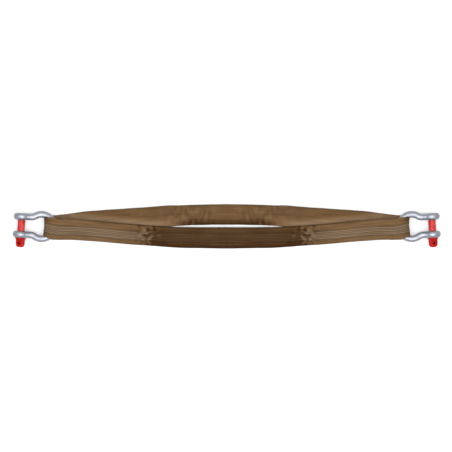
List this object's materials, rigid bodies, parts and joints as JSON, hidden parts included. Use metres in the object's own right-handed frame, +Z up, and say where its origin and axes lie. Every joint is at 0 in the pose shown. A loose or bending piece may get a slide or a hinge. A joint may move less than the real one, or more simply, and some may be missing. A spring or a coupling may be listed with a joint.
{
  "type": "round sling with bow shackles",
  "caption": "Endless round sling in a brown woven sleeve, lying slack, with a galvanised bow shackle and red screw pin through the eye at each end.",
  "frame": {"origin": "middle of the sling's length and width, on the floor it lies on", "axes": "+X along the sling, +Y from the front leg to the rear leg, +Z up; the screw pins' heads point to -Y"},
  "size_m": [1.4106, 0.1423, 0.0622],
  "materials": {
    "sleeve_fabric": "woven polyester, matt",
    "core_yarn": "loose polyester yarn",
    "galvanised_steel": "hot-dip galvanised forging",
    "red_paint": "glossy red paint on forged steel"
  },
  "bodies": {
    "centre": {"centre_front_sleeve": "sleeve_fabric", "centre_front_core": "core_yarn", "centre_rear_sleeve": "sleeve_fabric", "centre_rear_core": "core_yarn"},
    "left_middle": {"left_middle_front_sleeve": "sleeve_fabric", "left_middle_front_core": "core_yarn", "left_middle_rear_sleeve": "sleeve_fabric", "left_middle_rear_core": "core_yarn"},
    "left_eye": {"left_eye_sleeve": "sleeve_fabric", "left_eye_core": "core_yarn"},
    "left_shackle": {"left_bow": "galvanised_steel"},
    "left_pin": {"left_screw_pin": "red_paint"},
    "right_middle": {"right_middle_front_sleeve": "sleeve_fabric", "right_middle_front_core": "core_yarn", "right_middle_rear_sleeve": "sleeve_fabric", "right_middle_rear_core": "core_yarn"},
    "right_eye": {"right_eye_sleeve": "sleeve_fabric", "right_eye_core": "core_yarn"},
    "right_shackle": {"right_bow": "galvanised_steel"},
    "right_pin": {"right_screw_pin": "red_paint"}
  },
  "joints": [
    {"name": "left_inner_fold", "type": "hinge", "parent": "centre", "child": "left_middle", "pos_m": [-0.15, 0, 0.0106], "axis": [0, 1, 0], "range_deg": [-45, 45]},
    {"name": "left_outer_fold", "type": "hinge", "parent": "left_middle", "child": "left_eye", "pos_m": [-0.4, 0, 0.019], "axis": [0, 1, 0], "range_deg": [-45, 45]},
    {"name": "left_shackle_swing", "type": "hinge", "parent": "left_eye", "child": "left_shackle", "pos_m": [-0.56957, -0.00261, 0.031], "axis": [0.0576, 0.9983, 0], "range_deg": [-90, 90]},
    {"name": "left_pin_withdraw", "type": "slide", "parent": "left_shackle", "child": "left_pin", "axis": [-0.0576, -0.9983, 0], "range_m": [0, 0.09]},
    {"name": "right_inner_fold", "type": "hinge", "parent": "centre", "child": "right_middle", "pos_m": [0.15, 0, 0.0106], "axis": [0, -1, 0], "range_deg": [-45, 45]},
    {"name": "right_outer_fold", "type": "hinge", "parent": "right_middle", "child": "right_eye", "pos_m": [0.4, 0, 0.019], "axis": [0, -1, 0], "range_deg": [-45, 45]},
    {"name": "right_shackle_swing", "type": "hinge", "parent": "right_eye", "child": "right_shackle", "pos_m": [0.56957, -0.00261, 0.031], "axis": [0.0576, -0.9983, 0], "range_deg": [-90, 90]},
    {"name": "right_pin_withdraw", "type": "slide", "parent": "right_shackle", "child": "right_pin", "axis": [0.0576, -0.9983, 0], "range_m": [0, 0.09]}
  ]
}
